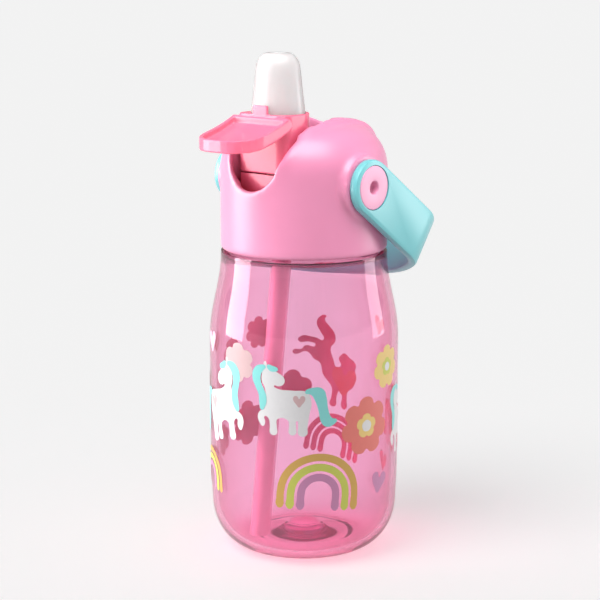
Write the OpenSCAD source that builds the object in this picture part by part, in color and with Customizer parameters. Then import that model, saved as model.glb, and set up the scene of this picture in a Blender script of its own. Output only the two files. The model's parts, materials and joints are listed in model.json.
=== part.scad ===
// Kids water bottle: clear jar, screw lid with a flip-up spout, and a swinging carry handle.
// Millimetres. The origin is the centre of the foot, +Z is up, -Y is the drinking side, and
// the handle pivots lie along X. The spout is modelled open and the handle hanging down.

/* [Jar] */
// Largest outer radius of the jar
jar_r = 37; // [36.5:0.1:37.5]
// Wall thickness of the jar
jar_wall = 2.4; // [2:0.1:2.6]
// Radius of the foot that the bottle stands on
foot_r = 22; // [20:0.5:24]
// Outer radius of the threaded neck
neck_r = 26.4; // [26.2:0.1:26.5]

/* [Lid] */
// Outer radius of the lid
lid_r = 32.3; // [32.3:0.1:32.6]
// Wall thickness of the lid shell
lid_wall = 2.2; // [2:0.1:2.3]
// Radius of the dome's rounded shoulder
dome_round = 17.3; // [16:0.1:18]
// Half the width of the channel that the spout folds into
channel_half = 12.6; // [12.6:0.1:12.8]

/* [Thread] */
// Rise of the lid in one full turn
thread_lead = 6; // [6:0.5:7]
// Height of the thread ridge above the neck
thread_height = 1.3; // [1:0.1:1.3]

/* [Spout] */
// Half the width of the spout at its base, side to side
spout_half_w = 11.4; // [11:0.1:11.5]
// Half the depth of the spout at its base, front to back
spout_half_d = 9.5; // [9:0.1:9.6]
// Height of the top of the open spout above the foot
spout_top_z = 195; // [193:0.5:196]
// Radius of the drinking hole
sip_r = 2.6; // [2:0.1:3]

/* [Finger tab] */
// Half the width of the finger tab
tab_half = 14; // [13:0.5:14]
// How far the tab's tip reaches in front of the bottle's axis
tab_reach = 50.5; // [46:0.5:51]

/* [Straw] */
// Outer radius of the straw
straw_r = 3.8; // [3.7:0.05:3.9]
// Inner radius of the straw
straw_bore_r = 3; // [3:0.05:3.1]

/* [Handle] */
// Width of the handle strap
strap_w = 21; // [19:0.5:22]
// Thickness of the handle strap
strap_t = 3.5; // [3:0.1:3.6]
// Angle that the hanging handle makes below the horizontal
handle_drop = 36.5; // [36:0.5:37]
// Distance from the pivots to the outside of the handle's back
handle_reach = 56.9; // [56.9:0.1:58]

/* [Hidden] */
$fn = 96;
eps = 0.01;

// Jar heights
corner_h = 19.2;            // height of the rounded lower corner
belly_z = 34;               // the jar reaches its full radius here
shoulder_z0 = 84;           // the shoulder starts to narrow here
shoulder_z1 = 118;          // and ends here
jar_top_r = 32.35;          // outer radius at the top of the shoulder
ledge_z = 118.4;            // top face of the ledge that the lid closes over
neck_top_z = 136;           // rim of the neck
neck_wall = 2.2;
thread_z = 123.5;           // the neck's thread starts here
thread_w = 2.4;             // width of both thread ridges at the root
thread_gap = 2.75;          // the collar's ridge runs this far below the neck's

// Lid heights
lid_z0 = 119.1;             // lower edge of the lid
dome_z = 150.5;             // the dome starts here
hood_r = 16.2;              // half width of the raised hood
hood_top_z = 170.4;
channel_z = 147.8;          // floor of the channel
cheek_t = 2;                // thickness of the channel's side walls
plate_z = 138;              // underside of the collar's top plate
plate_t = 1.6;
collar_r = 29.9;
collar_in_r = 28.05;

// Spout and hinge
spout_y = -15.2;            // the spout's axis, and the hinge's place front to back
hinge_z = 159.5;
front_y = -25.6;            // face of the carrier's front plate
carrier_half = 12.2;
deck_z = 172.5;             // top of the carrier
drum_r = 8.3;
pin_r = 1.5;
pin_fit = 0.05;
pin_in = 10.4;              // inner end of each hinge pin
port_r = 2.8;

// Finger tab
tab_root_y = -25;
tab_root_z = 171.6;
tab_tip_z = 165.2;          // height of the rim at the tab's tip
tab_deep = 4.8;             // depth of the tab's rim
tab_round = 11;             // radius of the tip's corners

// Straw
straw_lean = 6.93;          // forward lean of the straw
straw_top = [0, -10.7, 136.8];
straw_len = 128.6;

// Handle pivots
pivot_y = -2.2;
pivot_z = 145.7;
boss_r = 12.4;
boss_x = 32.4;              // face of the pivot bosses
washer_t = 0.3;
strap_in = 32.75;           // inner face of the strap at the pivots
stem_r = 4.5;
stem_fit = 0.05;
button_r = 8.3;
splay = 2.5;                // outward lean of the handle's arms
bow_r = 50;                 // radius of the handle's bowed back
bend_r = 13;                // outer radius of the handle's corners

pink = [0.96, 0.69, 0.83];
clear_pink = [1, 0.62, 0.76, 0.35];
red = [0.93, 0.33, 0.45, 0.8];
turquoise = [0.5, 0.8, 0.8];
silicone = [0.96, 0.94, 0.94];

// ---------------------------------------------------------------- helpers

// Radius of the jar at height z, measured on the outside
function shoulder_r(z) =
    jar_top_r + (jar_r - jar_top_r) * (1 + cos(180 * (z - shoulder_z0) / (shoulder_z1 - shoulder_z0))) / 2;

// Points of an ellipse's quarter from straight down to straight out
function corner(cx, cz, a, b, step) = [for (t = [-90 : step : 0]) [cx + a * cos(t), cz + b * sin(t)]];

module oval(a, b, n = 48) {
    polygon([for (i = [0 : n - 1]) [a * cos(360 * i / n), b * sin(360 * i / n)]]);
}

// A solid turned so that its length runs along X from x0 to x1, centred on (y, z)
module along_x(x0, x1, y, z) {
    translate([x0, y, z]) rotate([90, 0, 90]) linear_extrude(x1 - x0) children();
}

module x_rod(r, x0, x1, y, z) {
    translate([x0, y, z]) rotate([0, 90, 0]) cylinder(r = r, h = x1 - x0);
}

module box(x0, x1, y0, y1, z0, z1) {
    translate([x0, y0, z0]) cube([x1 - x0, y1 - y0, z1 - z0]);
}

// One helical ridge that rises by the lead in each turn, tapering into the wall at both ends
module ridge(root, crest, width, z0, turns) {
    per_turn = 30;
    n = round(per_turn * turns);
    function lift(i) = min(1, min(i, n - i) / 3);
    function ring(i) =
        let (t = 360 * i / per_turn, z = z0 + thread_lead * i / per_turn,
             c = root + (crest - root) * (0.35 + 0.65 * lift(i)), w = width * (0.5 + 0.5 * lift(i)) / 2)
        [for (p = [[root, -w], [c, -w * 0.55], [c, w * 0.55], [root, w]])
            [p[0] * cos(t), p[0] * sin(t), z + p[1]]];
    points = [for (i = [0 : n]) each ring(i)];
    sides = [for (i = [0 : n - 1], k = [0 : 3])
        let (a = 4 * i + k, b = 4 * i + (k + 1) % 4)
        each [[a, b, b + 4], [a, b + 4, a + 4]]];
    caps = [[2, 1, 0], [3, 2, 0], [4 * n, 4 * n + 1, 4 * n + 2], [4 * n, 4 * n + 2, 4 * n + 3]];
    faces = concat(sides, caps);
    outward = crest > root;
    polyhedron(points, outward ? faces : [for (f = faces) [f[2], f[1], f[0]]]);
}

// ---------------------------------------------------------------- jar

module bottle_jar() {
    outer = concat(
        [[0, 0], [7, 0], [8.6, 2], [18, 2], [19.4, 0]],
        corner(foot_r, corner_h, jar_r - 0.5 - foot_r, corner_h, 10),
        [[jar_r, belly_z]],
        [for (i = [0 : 10]) let (z = shoulder_z0 + (shoulder_z1 - shoulder_z0) * i / 10) [shoulder_r(z), z]],
        [[jar_top_r - 0.4, ledge_z], [neck_r, ledge_z], [neck_r, neck_top_z - 0.4],
         [neck_r - 0.4, neck_top_z]]);
    inner = concat(
        [[neck_r - neck_wall, neck_top_z], [neck_r - neck_wall, ledge_z - 1.2],
         [jar_top_r - jar_wall - 1, ledge_z - 3.4]],
        [for (i = [9 : -1 : 0]) let (z = shoulder_z0 + (shoulder_z1 - shoulder_z0) * i / 10)
            [shoulder_r(z) - jar_wall, z]],
        [[jar_r - jar_wall, belly_z]],
        [for (t = [0 : -10 : -80])
            [foot_r + (jar_r - 0.5 - jar_wall - foot_r) * cos(t), corner_h + (corner_h - 3) * sin(t)]],
        [[16, 4.6], [8, 5.9], [8, 6.6], [6.2, 6.9], [5.4, 8.3], [3.6, 9.2], [1.6, 9.5], [0, 9.5]]);
    color(clear_pink) {
        rotate_extrude() polygon(concat(outer, inner));
        ridge(neck_r - 0.2, neck_r + thread_height, thread_w, thread_z, 1.4);
    }
}

// ---------------------------------------------------------------- lid

// Section of the plain dome: a straight wall, a rounded shoulder and a flat top
module dome_section(r, round_r, z0, z1) {
    polygon(concat([[0, z0], [r - 0.8, z0], [r, z0 + 0.8]],
        [for (t = [0 : 7.5 : 90]) [r - round_r + round_r * cos(t), z1 - round_r + round_r * sin(t)]],
        [[0, z1]]));
}

// Side outline of the raised hood, in front-to-back and up-down coordinates
module hood_side() {
    polygon([[-33, 150], [-27.5, 158], [-21, 164], [-15.5, 167.4], [-10, 169.3], [-5, hood_top_z - 0.1],
             [0.6, hood_top_z], [6.5, 169.9], [12.8, 169], [19.1, 167.2], [25.4, 164], [29.6, 160.5],
             [32.2, 155], [32.2, 149], [-33, 149]]);
}

// The opening in the lid's front wall, in side-to-side and up-down coordinates
module front_opening() {
    low_r = 11;
    low_z = 144.4 + low_r;
    translate([0, low_z]) circle(low_r);
    polygon([[-low_r * cos(12), low_z - low_r * sin(12)], [low_r * cos(12), low_z - low_r * sin(12)],
             [13.8, 163], [14.2, 175], [-14.2, 175], [-13.8, 163]]);
}

module lid_shell() {
    in_r = lid_r - lid_wall;
    color(pink) difference() {
        union() {
            rotate_extrude() dome_section(lid_r, dome_round, lid_z0, dome_z + dome_round);
            intersection() {
                along_x(-hood_r, hood_r, 0, 0) hood_side();
                rotate_extrude() dome_section(lid_r, dome_round + 0.7, 140, hood_top_z);
            }
            for (s = [-1, 1]) x_rod(boss_r, s > 0 ? 24 : -boss_x, s > 0 ? boss_x : -24, pivot_y, pivot_z);
        }
        // Hollow inside, leaving the channel's cheeks and floor standing
        difference() {
            translate([0, 0, -eps]) rotate_extrude()
                dome_section(in_r, dome_round - 2, lid_z0 - 1, dome_z + dome_round - lid_wall);
            box(-channel_half - cheek_t, channel_half + cheek_t, -34, 28, channel_z - cheek_t, 180);
        }
        // Channel for the folded spout, round at its back end
        box(-channel_half, channel_half, -28, 12, channel_z, 180);
        translate([0, 12, channel_z]) linear_extrude(40) circle(channel_half);
        // Room for the tab's ears when the spout is folded
        box(-14.5, 14.5, -11.8, -1.4, 165.8, 180);
        // Well for the cradle
        box(-channel_half, channel_half, -28, -8.2, channel_z - 10, channel_z + 1);
        // Opening in the front wall
        translate([0, -20, 0]) rotate([90, 0, 0]) linear_extrude(20) front_opening();
        // Sockets for the handle buttons, and bores for the hinge pins
        for (s = [-1, 1]) {
            x_rod(stem_r, s > 0 ? 20 : -40, s > 0 ? 40 : -20, pivot_y, pivot_z);
            x_rod(pin_r, s > 0 ? channel_half - 1 : -15, s > 0 ? 15 : 1 - channel_half, spout_y, hinge_z);
        }
    }
}

module lid_collar() {
    color(silicone) difference() {
        union() {
            difference() {
                translate([0, 0, lid_z0 + 0.9]) cylinder(r = collar_r, h = plate_z + plate_t - lid_z0 - 0.9);
                translate([0, 0, lid_z0]) cylinder(r = collar_in_r, h = plate_z - lid_z0);
            }
            // Half a turn round, so that it starts above the collar's lower edge
            rotate(180) ridge(collar_in_r + 0.2, neck_r + 0.35, thread_w,
                              thread_z - thread_gap + thread_lead / 2, 1);
            translate(straw_top) rotate([-straw_lean, 0, 0]) translate([0, 0, -11])
                cylinder(r = straw_bore_r - 0.05, h = 13);
        }
        // Waterway through the spigot and the plate
        translate(straw_top) rotate([-straw_lean, 0, 0]) translate([0, 0, -12]) cylinder(r = 2, h = 13);
        box(-2, 2, spout_y - 2, straw_top[1] + 2, plate_z - 0.1, plate_z + plate_t + 1);
        // Air hole under the vent valve
        translate([0, 12, plate_z - 1]) cylinder(r = 1.6, h = 4);
    }
}

module lid_gasket() {
    color(silicone) translate([0, 0, neck_top_z + 0.1]) difference() {
        cylinder(r = 27.7, h = plate_z - neck_top_z - 0.2);
        translate([0, 0, -1]) cylinder(r = 24.4, h = 4);
    }
}

// Fixed tray under the hinge that leads the water up to the port
module spout_cradle() {
    z0 = plate_z + plate_t;
    back = -8.4;
    half = carrier_half - 0.1;
    color(red) difference() {
        union() {
            box(-half, half, front_y, back, z0, z0 + 1.6);
            box(-half, half, front_y, front_y + 1.8, z0, 150);
            for (s = [-1, 1])
                box(s > 0 ? half - 1.4 : -half, s > 0 ? half : 1.4 - half, front_y, back, z0, 149);
            translate([0, spout_y, z0]) cylinder(r = 4.5, h = 148 - z0);
        }
        translate([0, spout_y, z0 - 1]) cylinder(r = port_r, h = 20);
        // Rounded outer corners that follow the front plate above
        for (s = [-1, 1]) translate([s * half, front_y, z0 - 1]) rotate(45) cube([3.4, 3.4, 60], center = true);
    }
}

module port_seal() {
    color(silicone) difference() {
        translate([0, spout_y, 148]) cylinder(r = 4.4, h = 4);
        x_rod(drum_r + 0.3, -10, 10, spout_y, hinge_z);
        translate([0, spout_y, 147]) cylinder(r = port_r, h = 10);
    }
}

module vent_valve() {
    z0 = plate_z + plate_t;
    color(silicone) translate([0, 12, 0]) {
        translate([0, 0, z0]) rotate_extrude()
            polygon([[0, 0], [4, 0], [3.8, 0.6], [2.2, 1.2], [0, 1.4]]);
        translate([0, 0, plate_z - 1]) cylinder(r = 1.1, h = plate_t + 1.4);
        translate([0, 0, plate_z - 1.8]) cylinder(r1 = 1.2, r2 = 2, h = 1.7);
    }
}

module straw() {
    color(clear_pink) translate(straw_top) rotate([-straw_lean, 0, 0]) difference() {
        translate([0, 0, -straw_len]) cylinder(r = straw_r, h = straw_len);
        translate([0, 0, -straw_len - 1]) cylinder(r = straw_bore_r, h = straw_len + 2);
        translate([0, 0, -straw_len]) rotate([straw_lean + 14, 0, 0])
            translate([-6, -8, -6]) cube([12, 16, 6]);
    }
}

module hinge_pin(s) {
    color("silver") x_rod(pin_r, s > 0 ? pin_in : -14.4, s > 0 ? 14.4 : -pin_in, spout_y, hinge_z);
}
module hinge_pin_left() { hinge_pin(-1); }
module hinge_pin_right() { hinge_pin(1); }

// ---------------------------------------------------------------- flip-up spout

// Plan of the carrier: a flat front with rounded corners, and an oval back
module carrier_plan(inset = 0) {
    r = 4;
    half = carrier_half - inset;
    polygon(concat(
        [for (t = [180 : 15 : 270]) [-half + r + r * cos(t), front_y + inset + r + r * sin(t)]],
        [for (t = [270 : 15 : 360]) [half - r + r * cos(t), front_y + inset + r + r * sin(t)]],
        [for (t = [0 : 7.5 : 180]) [half * cos(t), spout_y + (11.2 - inset) * sin(t)]]));
}

// Plan of the finger tab, from its root towards its tip
module tab_plan(inset = 0) {
    r = tab_round - inset;
    half = tab_half - inset;
    tip = tab_reach + tab_root_y - inset;
    polygon(concat([[-half, inset > 0 ? 1.2 : 0]],
        [for (t = [180 : -15 : 90]) [-half + r + r * cos(t), tip - r + r * sin(t)]],
        [for (t = [90 : -15 : 0]) [half - r + r * cos(t), tip - r + r * sin(t)]],
        [[half, inset > 0 ? 1.2 : 0]]));
}

// Height of the tab's rim at a distance in front of its root, as a curve that flattens out
function rim_z(d) = tab_tip_z + (tab_root_z - tab_tip_z) * pow(max(0, 1 - d / (tab_reach + tab_root_y)), 1.8);

// The tab's plan between two depths below its curved rim
module tab_layer(inset, top, low) {
    steps = 12;
    reach = tab_reach + tab_root_y + 1;
    intersection() {
        translate([0, tab_root_y, 150]) mirror([0, 1, 0]) linear_extrude(40) tab_plan(inset);
        along_x(-tab_half - 1, tab_half + 1, 0, 0) polygon(concat(
            [for (i = [0 : steps]) [tab_root_y - reach * i / steps, rim_z(reach * i / steps) - top]],
            [for (i = [steps : -1 : 0]) [tab_root_y - reach * i / steps, rim_z(reach * i / steps) - low]]));
    }
}

// Side outline of the ears, rounded at their back end
module ear_side() {
    polygon(concat([[-25.3, 171.6], [-25.3, 167]],
        [for (t = [-90 : 15 : 90]) [-25.2 + 2.3 * cos(t), 169.3 + 2.3 * sin(t)]]));
}

module flip_carrier() {
    wall = 1.6;
    color(red) difference() {
        union() {
            // Upper sleeve, open towards the spout
            translate([0, 0, hinge_z + 4.9]) linear_extrude(deck_z - hinge_z - 4.9) carrier_plan();
            // Lower front, which reaches down in front of the hinge
            intersection() {
                translate([0, 0, 150.5]) linear_extrude(deck_z - 150.5) carrier_plan();
                box(-20, 20, front_y, spout_y, 150, deck_z);
            }
            for (s = [-1, 1])
                x_rod(drum_r + 0.2, s > 0 ? 9.9 : -carrier_half, s > 0 ? carrier_half : -9.9, spout_y, hinge_z);
            // Lip in front of the spout
            box(-3.7, 3.7, front_y, front_y + 0.9, deck_z - 1, deck_z + 3.4);
            // Ears that carry the tab
            for (s = [-1, 1])
                along_x(s > 0 ? 11 : -tab_half, s > 0 ? tab_half : -11, 0, 0) ear_side();
            difference() {
                tab_layer(0, 0, tab_deep);
                tab_layer(wall, -5, 2.4);
                tab_layer(wall, 3.6, tab_deep + 2);
            }
        }
        // Seat for the spout
        translate([0, spout_y, hinge_z + 6]) linear_extrude(20) oval(spout_half_w - 0.4, spout_half_d - 0.1);
        // Room for the rotary core
        box(-9.8, 9.8, front_y + wall, spout_y + 12, 149, hinge_z + 6.1);
        // Bores that run on the hinge pins
        x_rod(pin_r + pin_fit, -20, 20, spout_y, hinge_z);
    }
}

module rotary_core() {
    color(silicone) difference() {
        union() {
            x_rod(drum_r, -9.7, 9.7, spout_y, hinge_z);
            translate([0, spout_y, hinge_z]) cylinder(r = 4.6, h = 15);
            translate([0, spout_y, hinge_z + 12.4]) cylinder(r1 = 5, r2 = 4.4, h = 2.6);
        }
        translate([0, spout_y, 140]) cylinder(r = port_r, h = 50);
    }
}

// Radius of the spout as a part of its base size, against height above the deck on a spout of spout_ref
spout_ref = 22.5;
spout_wall = 1.8;
skin_t = 0.02;              // thickness of each slice that the spout is stretched over
spout_steps = [[-4.3, 0.95], [0.2, 0.955], [0.6, 0.97], [5, 0.92], [10.9, 0.855], [14.5, 0.825], [16.9, 0.795],
               [18.9, 0.735], [20.6, 0.64], [21.7, 0.53], [22.5, 0.38]];

module spout_skin(inset, shift, low) {
    stretch = (spout_top_z - deck_z) / spout_ref;
    hull() for (p = spout_steps) if (p[0] >= low)
        translate([0, 0, deck_z + p[0] * (p[0] > 0 ? stretch : 1) - shift])
            linear_extrude(skin_t) oval(spout_half_w * p[1] - inset, spout_half_d * p[1] - inset, 32);
}

module drinking_spout() {
    color(silicone) translate([0, spout_y, 0]) difference() {
        spout_skin(0, skin_t, -7);
        spout_skin(spout_wall, spout_wall, 0);
        translate([0, 0, 150]) cylinder(r = 5.1, h = 24);
        translate([0, 0, 180]) cylinder(r = sip_r, h = 20);
    }
}

// ---------------------------------------------------------------- carry handle

// Plan of the handle's inside or outside face: two arms, two bends and a bowed back
function handle_line(inset) =
    let (x0 = strap_in + strap_t,
         back_s = handle_reach - bow_r,
         guess_x = x0 + 36 * tan(splay) - bend_r / cos(splay),
         bend_s = back_s + sqrt(pow(bow_r - bend_r, 2) - guess_x * guess_x),
         bend_x = x0 + bend_s * tan(splay) - bend_r / cos(splay),
         turn = atan2(bend_s - back_s, bend_x),
         r = bend_r - inset,
         start = -strap_w)
    concat([[x0 + start * tan(splay) - inset, start]],
        [for (i = [0 : 8]) let (t = -splay + (turn + splay) * i / 8) [bend_x + r * cos(t), bend_s + r * sin(t)]],
        [for (i = [1 : 8]) let (t = turn + (180 - 2 * turn) * i / 9)
            [(bow_r - inset) * cos(t), back_s + (bow_r - inset) * sin(t)]],
        [for (i = [8 : -1 : 0]) let (t = -splay + (turn + splay) * i / 8) [-bend_x - r * cos(t), bend_s + r * sin(t)]],
        [[-x0 - start * tan(splay) + inset, start]]);

function reversed(list) = [for (i = [len(list) - 1 : -1 : 0]) list[i]];

module carry_handle() {
    color(turquoise) translate([0, pivot_y, pivot_z]) rotate([-handle_drop, 0, 0]) difference() {
        intersection() {
            translate([0, 0, -strap_w / 2]) linear_extrude(strap_w)
                polygon(concat(handle_line(0), reversed(handle_line(strap_t))));
            union() {
                x_rod(strap_w / 2, -60, 60, 0, 0);
                box(-60, 60, 0, 80, -strap_w / 2, strap_w / 2);
            }
        }
        for (s = [-1, 1]) {
            x_rod(stem_r + stem_fit, s > 0 ? 20 : -60, s > 0 ? 60 : -20, 0, 0);
            x_rod(button_r + 0.15, s > 0 ? strap_in + 2 : -60, s > 0 ? 60 : -strap_in - 2, 0, 0);
            // Flat inner faces that run on the washers
            box(s > 0 ? 20 : -strap_in, s > 0 ? strap_in : -20, -20, 12, -20, 20);
        }
    }
}

module handle_washer(s) {
    color(silicone) difference() {
        x_rod(8, s > 0 ? boss_x : -boss_x - washer_t, s > 0 ? boss_x + washer_t : -boss_x, pivot_y, pivot_z);
        x_rod(stem_r, -60, 60, pivot_y, pivot_z);
    }
}
module handle_washer_left() { handle_washer(-1); }
module handle_washer_right() { handle_washer(1); }

// Snap-in pivot: a broad head, a stem that the handle turns on, and a catch inside the lid
module handle_button(s) {
    head = strap_in + 2.1;
    face = strap_in + strap_t - 0.1;
    color(pink) difference() {
        union() {
            x_rod(button_r, s > 0 ? head : -face, s > 0 ? face : -head, pivot_y, pivot_z);
            x_rod(stem_r, s > 0 ? 27.4 : -head - 1, s > 0 ? head + 1 : -27.4, pivot_y, pivot_z);
            x_rod(stem_r + 0.7, s > 0 ? 27.4 : -29, s > 0 ? 29 : -27.4, pivot_y, pivot_z);
        }
        x_rod(2.5, s > 0 ? face - 3 : -60, s > 0 ? 60 : 3 - face, pivot_y, pivot_z);
    }
}
module handle_button_left() { handle_button(-1); }
module handle_button_right() { handle_button(1); }

bottle_jar();
lid_shell();
lid_collar();
lid_gasket();
spout_cradle();
port_seal();
vent_valve();
straw();
hinge_pin_left();
hinge_pin_right();
flip_carrier();
rotary_core();
drinking_spout();
carry_handle();
handle_washer_left();
handle_washer_right();
handle_button_left();
handle_button_right();
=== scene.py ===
"""Kids water bottle: the shape and finish of every visible piece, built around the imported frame.

Sizes are in millimetres in the frame's own axes: the foot's centre is the origin, Z is up and
the drinking side faces -Y. Meshes are scaled to metres when they become objects.
"""

import json
import logging
import math
from collections.abc import Callable, Iterable, Sequence
from dataclasses import dataclass
from enum import Enum
from typing import Any

import bmesh
import bpy
from mathutils import Matrix, Vector

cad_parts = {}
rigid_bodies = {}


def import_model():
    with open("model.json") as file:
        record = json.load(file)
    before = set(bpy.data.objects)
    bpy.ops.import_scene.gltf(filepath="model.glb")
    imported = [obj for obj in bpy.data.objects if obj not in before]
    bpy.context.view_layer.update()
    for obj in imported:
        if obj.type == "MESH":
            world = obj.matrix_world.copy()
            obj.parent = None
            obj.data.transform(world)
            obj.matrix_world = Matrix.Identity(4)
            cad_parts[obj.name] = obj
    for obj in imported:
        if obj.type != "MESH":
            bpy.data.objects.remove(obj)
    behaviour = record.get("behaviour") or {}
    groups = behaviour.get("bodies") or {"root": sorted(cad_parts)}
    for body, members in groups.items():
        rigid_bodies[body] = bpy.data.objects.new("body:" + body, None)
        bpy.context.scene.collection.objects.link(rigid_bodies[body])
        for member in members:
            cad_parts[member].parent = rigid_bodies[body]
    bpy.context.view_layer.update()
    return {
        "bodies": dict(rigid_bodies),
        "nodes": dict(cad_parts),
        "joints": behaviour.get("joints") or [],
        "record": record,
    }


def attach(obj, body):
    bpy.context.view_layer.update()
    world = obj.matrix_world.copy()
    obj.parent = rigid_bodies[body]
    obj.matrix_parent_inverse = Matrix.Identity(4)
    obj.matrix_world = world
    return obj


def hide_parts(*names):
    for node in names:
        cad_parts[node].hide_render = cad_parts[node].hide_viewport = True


LOG = logging.getLogger("water_bottle")
MM = 0.001

Point = tuple[float, float]
Colour = tuple[float, float, float]


# ------------------------------------------------------------------ shader graph


@dataclass(frozen=True)
class Sock:
    """A shader value that takes part in Python arithmetic through Math nodes."""

    graph: "Graph"
    socket: bpy.types.NodeSocket

    def math(self, operation: str, *values: "Sock | float") -> "Sock":
        """Adds one Math node.

        Args:
            operation: The Math node's operation.
            values: What goes into its sockets, in order.

        Returns:
            The node's result.
        """
        node = self.graph.node("ShaderNodeMath", {"operation": operation}, dict(enumerate(values)))
        return Sock(self.graph, node.outputs[0])

    def __add__(self, other: "Sock | float") -> "Sock":
        """Adds a value."""
        return self.math("ADD", self, other)

    __radd__ = __add__

    def __mul__(self, other: "Sock | float") -> "Sock":
        """Multiplies by a value."""
        return self.math("MULTIPLY", self, other)

    __rmul__ = __mul__

    def __sub__(self, other: "Sock | float") -> "Sock":
        """Takes a value off."""
        return self.math("SUBTRACT", self, other)

    def __rsub__(self, other: "Sock | float") -> "Sock":
        """Is taken off a value."""
        return self.math("SUBTRACT", other, self)


class Graph:
    """A material and the node tree that it is built in."""

    def __init__(self, name: str) -> None:
        """Starts an empty material.

        Args:
            name: The material's name.
        """
        self.material = bpy.data.materials.new(name)
        self.material.use_nodes = True
        self.tree = self.material.node_tree
        self.tree.nodes.clear()
        self.output = self.tree.nodes.new("ShaderNodeOutputMaterial")

    def node(self, kind: str, settings: dict[str, Any], values: dict[str | int, Any]) -> bpy.types.Node:
        """Adds a node.

        Args:
            kind: The node's type.
            settings: Properties that are set first; "stops" holds a ramp's positions and colours.
            values: Socket names or numbers, and the link or value that each takes.

        Returns:
            The new node.
        """
        made = self.tree.nodes.new(kind)
        for key, value in settings.items():
            if key == "stops":
                ramp = made.color_ramp
                while len(ramp.elements) < len(value):
                    ramp.elements.new(1.0)
                for element, (position, colour) in zip(ramp.elements, value):
                    element.position = position
                    element.color = (*colour, 1.0)
            else:
                setattr(made, key, value)
        for key, value in values.items():
            target = made.inputs[key]
            if isinstance(value, Sock):
                self.tree.links.new(value.socket, target)
            elif isinstance(value, tuple) and target.type == "RGBA":
                target.default_value = (*value, 1.0)
            else:
                target.default_value = value
        return made

    def out(self, node: bpy.types.Node, name: str | int = 0) -> Sock:
        """Wraps one of a node's outputs."""
        return Sock(self, node.outputs[name])

    def place(self, scale: Sequence[float] = (1.0, 1.0, 1.0)) -> Sock:
        """Gives the object's coordinates in metres, stretched by a scale on each axis."""
        coords = self.node("ShaderNodeTexCoord", {}, {})
        mapping = self.node("ShaderNodeMapping", {}, {"Vector": self.out(coords, "Object"), "Scale": tuple(scale)})
        return self.out(mapping)

    def noise(self, per_metre: float, detail: float = 2.0, scale: Sequence[float] = (1.0, 1.0, 1.0)) -> Sock:
        """Gives a noise pattern about 0.5.

        Args:
            per_metre: How many patches fit in a metre.
            detail: How many finer octaves it holds.
            scale: Stretch on each axis.

        Returns:
            The pattern's value.
        """
        node = self.node(
            "ShaderNodeTexNoise",
            {},
            {"Vector": self.place(scale), "Scale": per_metre, "Detail": detail, "Roughness": 0.55},
        )
        return self.out(node, "Fac")

    def facing(self, power: float) -> Sock:
        """Gives 0 where the surface faces the viewer and 1 at its edge, sharpened by a power."""
        edge = self.out(self.node("ShaderNodeLayerWeight", {}, {"Blend": 0.5}), "Facing")
        return edge.math("POWER", edge, power)

    def mix(self, factor: Sock | float, low: Any, high: Any) -> Sock:
        """Blends two colours.

        Args:
            factor: 0 for the first colour and 1 for the second.
            low: First colour.
            high: Second colour.

        Returns:
            The blended colour.
        """
        node = self.node("ShaderNodeMix", {"data_type": "RGBA"}, {0: factor, 6: low, 7: high})
        return self.out(node, 2)

    def bump(self, height: Sock, strength: float, depth: float) -> Sock:
        """Turns a height pattern into a normal.

        Args:
            height: The pattern.
            strength: How strongly it shows.
            depth: Its height in millimetres.

        Returns:
            The bent normal.
        """
        node = self.node("ShaderNodeBump", {}, {"Strength": strength, "Distance": depth * MM, "Height": height})
        return self.out(node)

    def finish(self, surface: Sock) -> bpy.types.Material:
        """Connects the surface and hands the material over."""
        self.tree.links.new(surface.socket, self.output.inputs["Surface"])
        return self.material


# ------------------------------------------------------------------ finishes


def tint(colour: Colour, share: float) -> Colour:
    """Darkens a colour below a share of 1, or lightens it above."""
    return (min(1.0, colour[0] * share), min(1.0, colour[1] * share), min(1.0, colour[2] * share))


@dataclass(frozen=True)
class SatinPlastic:
    """Soft satin moulding: a spark-eroded grain, a faint flow mottle and a velvety edge."""

    name: str
    colour: Colour
    roughness: float = 0.4
    grain: float = 0.05
    sheen: float = 0.15
    glow: float = 0.0
    coat: float = 0.35
    ior: float = 1.49

    def build(self) -> bpy.types.Material:
        """Builds the material."""
        graph = Graph(self.name)
        mottle = graph.noise(55.0, 3.0)
        fine = graph.noise(5200.0, 2.0)
        colour = graph.mix(mottle, tint(self.colour, 0.95), tint(self.colour, 1.05))
        skin = graph.node(
            "ShaderNodeBsdfPrincipled",
            {"subsurface_method": "RANDOM_WALK"},
            {
                "Base Color": colour,
                "Roughness": self.roughness - 0.05 + 0.1 * mottle,
                "Normal": graph.bump(fine, self.grain, 0.02),
                "IOR": self.ior,
                "Coat Weight": self.coat,
                "Coat Roughness": 0.35,
                "Sheen Weight": self.sheen,
                "Sheen Roughness": 0.4,
                "Subsurface Weight": self.glow,
                "Subsurface Radius": (1.0, 0.45, 0.5),
                "Subsurface Scale": 1.2 * MM,
            },
        )
        return graph.finish(graph.out(skin))


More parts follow.
